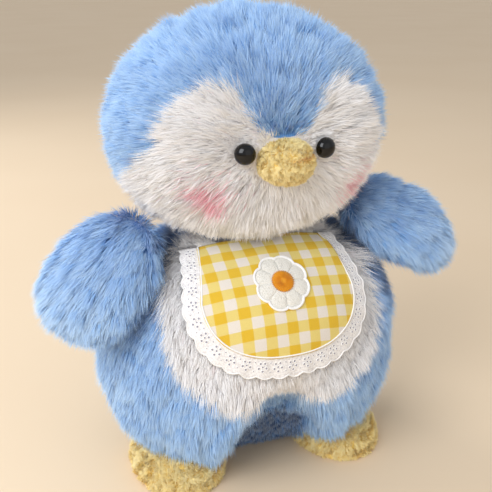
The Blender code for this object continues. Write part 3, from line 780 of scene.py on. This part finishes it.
def flipper_surface(axes, by):
    form = egg((0, 0, 0), grown(FLIPPER_HALF, by), 2.2, 64, 48)
    for vert in form.verts:
        vert.co.x *= 1 + 0.12 * vert.co.z / FLIPPER_HALF[2]
    bmesh.ops.translate(form, vec=(0, FLIPPER_MIDDLE, 0.037), verts=form.verts)
    form.transform(axes)
    return form


for side_name, sign, droop in (("left", 1, 24), ("right", -1, 41)):
    axes = flipper_axes(side_name, sign, droop)
    for leaf, low, high in (("outer", 0.0152, 0.2), ("inner", -0.2, 0.0148)):
        skin = shown("flipper_%s_backing_%s" % (leaf, side_name), flipper_surface(axes, FLIPPER_BACKING),
                     blue_backing)
        half_space = box_form((-0.3, low, -0.3), (0.3, high, 0.3))
        half_space.transform(axes)
        carved(skin, [(half_space, "INTERSECT")])
        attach(skin, "flipper_" + side_name)
        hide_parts("flipper_%s_%s" % (leaf, side_name))
    rng = np.random.default_rng(16)
    roots, outward = spread(flipper_surface(axes, FLIPPER_BACKING), LONG_PILE_PER_MM2, rng)
    turn = np.array(axes)[:3, :3]
    local = (roots - np.array(axes)[:3, 3]) @ turn
    lie = np.tile(turn[:, 2], (len(roots), 1)) + turn[:, 0] * (local[:, :1] * 12)
    lie += np.array((0, 0, -0.25))
    # Painted shade: darker at the root, where the flipper meets the body, and on the inner leaf, which
    # faces the body; lighter towards the tip.
    shade = 0.52 + 0.22 * smooth(0.02, 0.07, local[:, 2]) - 0.34 * smooth(0.012, -0.004, local[:, 2])
    shade = np.where(local[:, 1] < FLIPPER_MIDDLE, shade - 0.18, shade)
    reach = LONG_PILE * (0.7 + 0.3 * smooth(-0.003, 0.02, local[:, 2]))
    for leaf, chosen in (("outer", local[:, 1] >= FLIPPER_MIDDLE),
                         ("inner", local[:, 1] < FLIPPER_MIDDLE)):
        pelt = pile("flipper_%s_pile_%s" % (leaf, side_name), blue_pile, roots[chosen],
                    outward[chosen], lie[chosen], reach[chosen], shade[chosen], rng)
        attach(pelt, "flipper_" + side_name)


# ---------------------------------------------------------------- bib
# A U of yellow and white gingham cotton over a plain lining, sewn into the neck band.

CHECK = 0.0072


def on_body(flat, lift):
    """Lays points of the chest's plane on the body, lifted off it by a distance."""
    flat = np.asarray(flat, float)
    lift = np.broadcast_to(lift, len(flat))
    base_points = chest_place + flat[:, :1] * chest_axes[:, 0] + flat[:, 1:2] * chest_axes[:, 1]
    low, high = np.full(len(flat), -0.05), np.full(len(flat), 0.06)
    for _ in range(40):
        middle = (low + high) / 2
        p = base_points + middle[:, None] * chest_axes[:, 2]
        level = np.hypot(p[:, 0] / (BODY_HALF[0] + lift), p[:, 1] / (BODY_HALF[1] + lift))
        rise = np.where(p[:, 2] > BODY_WAIST[2], BODY_HALF[2] + lift, BODY_HALF[3] + lift)
        height = np.abs(p[:, 2] - BODY_WAIST[2]) / rise
        out = level ** BODY_FULLNESS + height ** BODY_FULLNESS > 1
        high = np.where(out, middle, high)
        low = np.where(out, low, middle)
    return base_points + low[:, None] * chest_axes[:, 2]


def drape(form, lift):
    """Lays a form drawn flat in x and y on the chest; its z is height over the cloth."""
    flat = np.array([vert.co for vert in form.verts])
    laid = on_body(flat[:, :2], lift + flat[:, 2])
    for vert, place in zip(form.verts, laid):
        vert.co = place
    return form


def polar_sheet(radius_at, rings=40, spokes=192):
    """A flat disc of rings and spokes whose edge is radius_at(angle)."""
    form = turned(bmesh.new(), [(step / rings, 0, 0) for step in range(rings + 1)], spokes)
    for vert in form.verts:
        share = vert.co.length
        angle = np.arctan2(vert.co.y, vert.co.x)
        edge = radius_at(angle)
        vert.co = Vector((cos(angle), sin(angle), 0)) * edge * share
    return form


def bib_edge(extra):
    outline = np.array(bib_reach(extra))
    dense = [outline[0]]
    for first, second in zip(outline, np.roll(outline, -1, axis=0)):
        for step in range(1, 9):
            dense.append(first + (second - first) * step / 8)
    dense = np.array(dense)
    angles = np.arctan2(dense[:, 1], dense[:, 0])
    order = np.argsort(angles)
    return lambda angle: np.interp(angle, angles[order], np.hypot(*dense[order].T), period=2 * pi)


def ripples(x, y):
    """Soft creases in the cotton, deepest at the neck."""
    at_neck = float(smooth(0.004, 0.040, np.array(y)))
    at_corner = float(smooth(0.0, 0.045, np.array(x + y * 0.6)))
    return (0.00045 * sin(x * 150 + 2.5 * sin(y * 90)) * (0.4 + at_neck)
            + 0.0005 * sin((x * 0.8 + y) * 120 + 1.0) * at_corner)


def weave_group():
    """The height of fine crossing yarns, from a place in the cloth and the yarn's own size."""
    tree, given, out = node_group("plain weave", {"Vector": "Vector", "Yarn": "Float"},
                                  {"Height": "Float"})
    parts = add(tree, "SeparateXYZ", {"Vector": given.outputs["Vector"]})
    waves = [maths(tree, "SINE", maths(tree, "DIVIDE", parts.outputs[axis], given.outputs["Yarn"]))
             for axis in ("X", "Y")]
    height = maths(tree, "MULTIPLY_ADD", maths(tree, "MULTIPLY", *waves), 0.5, 0.5)
    tree.links.new(height, out.inputs["Height"])
    return tree


plain_weave = weave_group()


def woven(material, place):
    """Bumps a material with fine crossing yarns, and returns their height."""
    weave = add(material.node_tree, "Group", {"Yarn": 0.00009, "Vector": place},
                node_tree=plain_weave)
    raised(material, weave.outputs["Height"], 0.5, 0.00012)
    return weave.outputs["Height"]


gingham, tree, shader = new_material("yellow gingham", 0.88, 0.1)
cloth_place = add(tree, "UVMap", {}, uv_map="cloth").outputs["UV"]
wobble = add(tree, "TexNoise", {"Vector": cloth_place, "Scale": 60})
drift = add(tree, "VectorMath", {0: wobble.outputs["Color"], 1: (0.0006, 0.0006, 0),
                                 2: cloth_place}, operation="MULTIPLY_ADD")
parts = add(tree, "SeparateXYZ", {"Vector": drift.outputs["Vector"]})
stripes = []
for axis, offset in (("X", 0.25), ("Y", 0.1)):
    wave = maths(tree, "SINE", maths(tree, "MULTIPLY_ADD", parts.outputs[axis], pi / CHECK,
                                     offset * pi))
    edge = add(tree, "MapRange", {"From Min": -0.12, "From Max": 0.12, "Value": wave})
    stripes.append(edge.outputs["Result"])
halved = maths(tree, "MULTIPLY", maths(tree, "ADD", *stripes), 0.5)
dyed = ramped(tree, halved, [(0.1, "EEE8E2"), (0.5, "EDD985"), (0.95, "E8C03A")])
yarn_height = woven(gingham, cloth_place)
dyed = colour_mix(tree, yarn_height, dyed, linear("E9E2D2"), "MULTIPLY")
tree.links.new(dyed, shader.inputs["Base Color"])


def with_cloth_map(thing, flat):
    """Keeps each vertex's place in the flat cloth, in metres, as the UV map the weave follows."""
    lay = thing.data.uv_layers.new(name="cloth")
    corner_verts = np.empty(len(thing.data.loops), np.int32)
    thing.data.loops.foreach_get("vertex_index", corner_verts)
    lay.uv.foreach_set("vector", flat[corner_verts].astype(np.float32).reshape(-1))


form = polar_sheet(bib_edge(0.0005))
flat = np.array([vert.co for vert in form.verts])[:, :2]
for vert in form.verts:
    vert.co.z = ripples(vert.co.x, vert.co.y)
drape(form, 0.0034)
bib = shown("bib_cloth", form, gingham)
with_cloth_map(bib, flat * np.array((1.04, 1.12)))
thickened(bib, 0.0012, -1)
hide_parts("bib_front", "bib_corner_left", "bib_corner_right")
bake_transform(bib)

plain_cotton = mottled("plain white cotton", 0.9, 0.1, 120, "F4F1EC", "E6E1DA")
woven(plain_cotton, object_place(plain_cotton))

form = polar_sheet(bib_edge(-0.0006), 24, 128)
drape(form, 0.0016)
lining = shown("bib_lining_cloth", form, plain_cotton)
thickened(lining, 0.0006, -1)
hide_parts("bib_lining")
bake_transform(lining)


# ---------------------------------------------------------------- lace
# White cotton eyelet lace round the bib's curved edge: a strip with a scalloped rim corded in
# thread, and flowers of small stitched eyelets. It is sewn under the gingham's edge, with shallow
# waves where it is gathered.

LACE_WIDTH = 0.0105
SCALLOP = 0.0088
LACE_TUCK = 0.0012
EYELET_FLOWER_OUT, EYELET_FLOWER_RADIUS = 0.0046, 0.0022

lace_white = cellular("white eyelet lace", 0.85, 0.2, 900, [(0, "FFFDFA"), (1, "D8D4D4")],
                      0.5, 0.0002)
thread_white = mottled("white satin thread", 0.55, 0.2, 1500, "FFFFFD", "ECE9E6")
# The eyelets are not cut through: a dark disc of painted shadow sits in each ring's hole.
eyelet_shadow_paint = mottled("shadow in an eyelet", 0.95, 0, 700, "A6A2AC", "928E99")

edge_line = np.array(bib_reach(0.0, 361))
steps = np.linalg.norm(np.diff(edge_line, axis=0), axis=1)
run = np.concatenate(([0], np.cumsum(steps)))
total_run = run[-1]
tangent = np.gradient(edge_line, axis=0)
tangent = tangent / np.linalg.norm(tangent, axis=1)[:, None]
away = np.stack((tangent[:, 1], -tangent[:, 0]), 1)
away *= np.sign((away * edge_line).sum(1).mean())
kernel = np.ones(15) / 15
away = np.stack([np.convolve(np.pad(away[:, i], 7, mode="edge"), kernel, "valid") for i in (0, 1)], 1)
away = away / np.linalg.norm(away, axis=1)[:, None]


def beside_edge(along, out):
    """A point of the chest's plane at a distance along the bib's edge and out from it."""
    at = np.stack([np.interp(along, run, edge_line[:, i]) for i in (0, 1)], 1)
    way = np.stack([np.interp(along, run, away[:, i]) for i in (0, 1)], 1)
    return at + way * np.asarray(out)[:, None]


def lace_height(along, out):
    return 0.0005 * np.sin(along * 2 * pi / 0.0126) * np.clip(out / LACE_WIDTH, 0, 1) + 0.0022


form = bmesh.new()
bmesh.ops.create_grid(form, x_segments=440, y_segments=8, size=1)
plan = np.array([vert.co for vert in form.verts])
along = (plan[:, 0] + 1) / 2 * total_run
rim = LACE_WIDTH - 0.0011 + 0.0013 * np.abs(np.sin(pi * along / SCALLOP))
out = -LACE_TUCK + (plan[:, 1] + 1) / 2 * (rim + LACE_TUCK)
laid = on_body(beside_edge(along, out), lace_height(along, out))
for vert, spot in zip(form.verts, laid):
    vert.co = spot
lace = shown("lace_strip", form, lace_white)
thickened(lace, 0.0007, 0)


def tube(name, points, radius, material, closed=False, sides=2):
    """A round thread along points."""
    line = bpy.data.curves.new(name, "CURVE")
    line.dimensions = "3D"
    line.bevel_depth = radius
    line.bevel_resolution = sides
    line.use_fill_caps = True
    spline = line.splines.new("POLY")
    spline.points.add(len(points) - 1)
    spline.points.foreach_set("co", np.hstack((points, np.ones((len(points), 1)))).reshape(-1))
    spline.use_cyclic_u = closed
    thing = bpy.data.objects.new(name, line)
    bpy.context.scene.collection.objects.link(thing)
    view = bpy.context.evaluated_depsgraph_get()
    mesh = bpy.data.meshes.new_from_object(thing.evaluated_get(view))
    bpy.data.objects.remove(thing, do_unlink=True)
    mesh.materials.clear()
    mesh.materials.append(material)
    mesh.shade_smooth()
    thing = bpy.data.objects.new(name, mesh)
    bpy.context.scene.collection.objects.link(thing)
    return thing


along = np.linspace(0, total_run, 640)
out = LACE_WIDTH - 0.0013 + 0.0014 * np.abs(np.sin(pi * along / SCALLOP))
cord = tube("lace_rim", on_body(beside_edge(along, out), lace_height(along, out) + 0.0002), 0.00055,
            thread_white)
out = LACE_WIDTH - 0.0033 + 0.0011 * np.abs(np.sin(pi * along / SCALLOP))
inner_cord = tube("lace_inner_cord", on_body(beside_edge(along, out), lace_height(along, out) + 0.0001),
                  0.0003, thread_white)

round_thread = [(1 + 0.36 * cos(a), 0, 0.4 * sin(a)) for a in np.linspace(0, 2 * pi, 6)[:-1]]
ring_form = turned(bmesh.new(), round_thread, 12, closed=True)
ring_mesh = bpy.data.meshes.new("ring")
ring_form.to_mesh(ring_mesh)
ring_form.free()

spots = []
cluster_count = int(total_run / SCALLOP)
for index in range(cluster_count):
    middle_run = (index + 0.5) * total_run / cluster_count
    spots.append((middle_run, EYELET_FLOWER_OUT, 0.0008))
    for petal in range(5):
        angle = 2 * pi * petal / 5 + 0.4
        spots.append((middle_run + EYELET_FLOWER_RADIUS * cos(angle),
                      EYELET_FLOWER_OUT + EYELET_FLOWER_RADIUS * sin(angle), 0.00092))
    join_run = index * total_run / cluster_count
    if index:
        spots.append((join_run, 0.0024, 0.00055))
        spots.append((join_run, 0.0070, 0.00050))
eyelets = bmesh.new()
shadow_discs = bmesh.new()
run_at, out_at, _ = np.array(spots).T
middles = on_body(beside_edge(run_at, out_at), lace_height(run_at, out_at) + 0.0004)
for (_, _, size), middle in zip(spots, middles):
    slope = Vector((middle[0] / BODY_HALF[0] ** 2, middle[1] / BODY_HALF[1] ** 2))
    rise = (middle[2] - BODY_WAIST[2]) / BODY_HALF[2]
    level = (middle[0] / BODY_HALF[0]) ** 2 + (middle[1] / BODY_HALF[1]) ** 2
    normal = Vector((slope.x * level ** 0.25, slope.y * level ** 0.25,
                     max(rise, 0) ** 1.5 / BODY_HALF[2])).normalized()
    turn = normal.to_track_quat("Z", "Y").to_matrix().to_4x4()
    start_count = len(eyelets.verts)
    eyelets.from_mesh(ring_mesh)
    eyelets.verts.ensure_lookup_table()
    bmesh.ops.transform(eyelets, matrix=Matrix.Translation(middle) @ turn @ Matrix.Scale(size, 4),
                        verts=eyelets.verts[start_count:])
    # A disc of painted shadow fills the ring's hole.
    bmesh.ops.create_circle(shadow_discs, cap_ends=True, segments=10, radius=size * 0.9,
                            matrix=Matrix.Translation(Vector(middle) + normal * 0.00005) @ turn)
eyelet_rings = shown("lace_eyelets", eyelets, thread_white)
mesh = bpy.data.meshes.new("lace_eyelet_painted_shadows")
shadow_discs.to_mesh(mesh)
shadow_discs.free()
mesh.materials.append(eyelet_shadow_paint)
eyelet_painted_shadows = bpy.data.objects.new("lace_eyelet_painted_shadows", mesh)
bpy.context.scene.collection.objects.link(eyelet_painted_shadows)

along = np.linspace(0, total_run, 640)
stitch_line = tube("bib_edge_stitching",
                   on_body(beside_edge(along, np.full(640, -0.0002)), np.full(640, 0.0035)),
                   0.0005, thread_white)
for piece in (lace, cord, inner_cord, eyelet_rings, eyelet_painted_shadows, stitch_line):
    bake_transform(piece)
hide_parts("bib_lace")


# ---------------------------------------------------------------- flower
# A flower sewn on the bib: eight petals of off-white looped towelling with a raised satin edge,
# and a round centre of orange satin stitches that run out from its middle.

FLOWER_UP = 0.004
PETALS = 8
HEART_RADIUS, HEART_STITCHES = 0.0068, 36


def petal_radius(angle):
    return (0.0148 + 0.0021 * abs(sin(PETALS * angle / 2)) ** 0.6) * (1 + 0.06 * sin(angle) ** 2)


towelling = cellular("off-white towelling", 0.95, 0.3, 1300, [(0, "FBF9F1"), (0.8, "E2DED3")],
                     0.9, 0.0005, invert=True)

form = polar_sheet(petal_radius, 26, 256)
for vert in form.verts:
    radius = vert.co.length
    angle = np.arctan2(vert.co.y, vert.co.x)
    share = radius / petal_radius(angle)
    groove = (1 - abs(sin(PETALS * angle / 2))) ** 3
    swell = 0.0016 * (1 - share ** 6) - 0.0007 * groove * float(smooth(0.3, 0.7, np.array(share)))
    vert.co.z = max(swell, 0.0002)
    vert.co.y += FLOWER_UP
drape(form, 0.0036)
petals = shown("flower_petals_towelling", form, towelling)
thickened(petals, 0.0008, -1)
angles = np.linspace(0, 2 * pi, 257)[:-1]
edge_radius = np.array([petal_radius(a) for a in angles])
flat = np.stack((edge_radius * np.cos(angles), edge_radius * np.sin(angles) + FLOWER_UP), 1)
satin_edge = tube("flower_satin_edge", on_body(flat, np.full(256, 0.0042)), 0.0008, thread_white, True)

orange_satin = mottled("orange satin thread", 0.5, 0.15, 1400, "F0AA28", "CC8010")

form = polar_sheet(lambda angle: HEART_RADIUS + 0.0004 * cos(HEART_STITCHES * angle), 14, 360)
for vert in form.verts:
    radius = vert.co.length
    angle = np.arctan2(vert.co.y, vert.co.x)
    share = min(radius / 0.0069, 1)
    ridge = 0.0003 * cos(HEART_STITCHES * angle) * float(smooth(0.1, 0.5, np.array(share)))
    vert.co.z = 0.0013 * (1 - share ** 4) + ridge - 0.0005 * (1 - share) ** 3
    vert.co.y += FLOWER_UP
drape(form, 0.0054)
heart = shown("flower_heart", form, orange_satin)
thickened(heart, 0.0008, -1)
for piece, node, finish_slot in ((petals, "flower_petals", "off_white_thread"),
                                 (satin_edge, None, "off_white_thread"),
                                 (heart, "flower_centre", "orange_thread")):
    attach(piece, "bib")
    if node:
        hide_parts(node)


# ---------------------------------------------------------------- neck band, fastening and label
# A cotton band holds the bib round the neck and closes at the nape with a hook-and-loop patch. A
# blank care label is sewn in low on the back. The wads of fill and the pellet bag are inside.

fibre_fill = mottled("polyester fibre fill", 1.0, 0, 180, "F7F6F3", "E2E0DC", detail=6)
washer_white = mottled("natural moulded plastic", 0.45, 0, 250, "F2F0EA", "E4E1DA")

wad = shown("body_fill", body_surface(-0.0075), fibre_fill)
pocket = egg((0, 0, 0.0053), (0.0303, 0.0233, 0.0263, 0.0263), 2.0, 32, 16)
carved(wad, [(box_form(*above_neck), "DIFFERENCE"), (box_form(*under_floor), "DIFFERENCE"),
             (egg((0, 0, 0.161), (0.0156,) * 4, 2.0, 32, 16), "DIFFERENCE"), (pocket, "DIFFERENCE")])
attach(wad, "body")
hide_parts("body_stuffing")

inner = {fibre_fill: ("head_stuffing", "neck_stuffing", "beak_stuffing", "foot_stuffing_left",
                      "foot_stuffing_right", "flipper_stuffing_left", "flipper_stuffing_right"),
         washer_white: ("eye_washer_left", "eye_washer_right", "closure_loop", "closure_hook"),
         plain_cotton: ("pellet_bag", "neck_band", "care_label")}
for finish, names in inner.items():
    for name in names:
        for holder in frame["nodes"][name].material_slots:
            holder.material = finish


# ---------------------------------------------------------------- studio
# A wide pale floor under a plain pale sky, soft lights from the left, the front and behind, and
# the camera.

sand = mottled("pale floor", 0.8, 0, 3, "F0DABC", "EAD2B2")
form = bmesh.new()
bmesh.ops.create_grid(form, x_segments=1, y_segments=1, size=40)
floor = shown("floor", form, sand)

bpy.context.scene.view_settings.view_transform = "Standard"
world = bpy.data.worlds.new("studio")
bpy.context.scene.world = world
world.use_nodes = True
world.node_tree.nodes["Background"].inputs["Color"].default_value = linear("EEF0F4")
world.node_tree.nodes["Background"].inputs["Strength"].default_value = 0.7
for name, place, power, size, tone_code in (("key", (-0.75, -0.5, 0.8), 8.5, 0.7, "F6F9FF"),
                                            ("fill", (0.3, -1.2, 0.5), 1.5, 1.2, "FFF8F0"),
                                            ("rim", (-0.6, 0.9, 0.9), 6, 0.8, "FFFFFF")):
    lamp = bpy.data.lights.new(name, "AREA")
    lamp.energy = power
    lamp.size = size
    lamp.color = linear(tone_code)[:3]
    holder = bpy.data.objects.new(name, lamp)
    holder.location = place
    aim = Vector((0, 0, 0.13)) - Vector(place)
    holder.rotation_euler = aim.to_track_quat("-Z", "Y").to_euler()
    bpy.context.scene.collection.objects.link(holder)

lens = bpy.data.cameras.new("camera")
lens.lens = 53.1
lens.sensor_width = 36
camera = bpy.data.objects.new("camera", lens)
camera.location = (-0.1519, -0.4314, 0.3202)
camera.rotation_euler = (radians(68.9), 0, radians(-19.4))
bpy.context.scene.collection.objects.link(camera)
bpy.context.scene.camera = camera
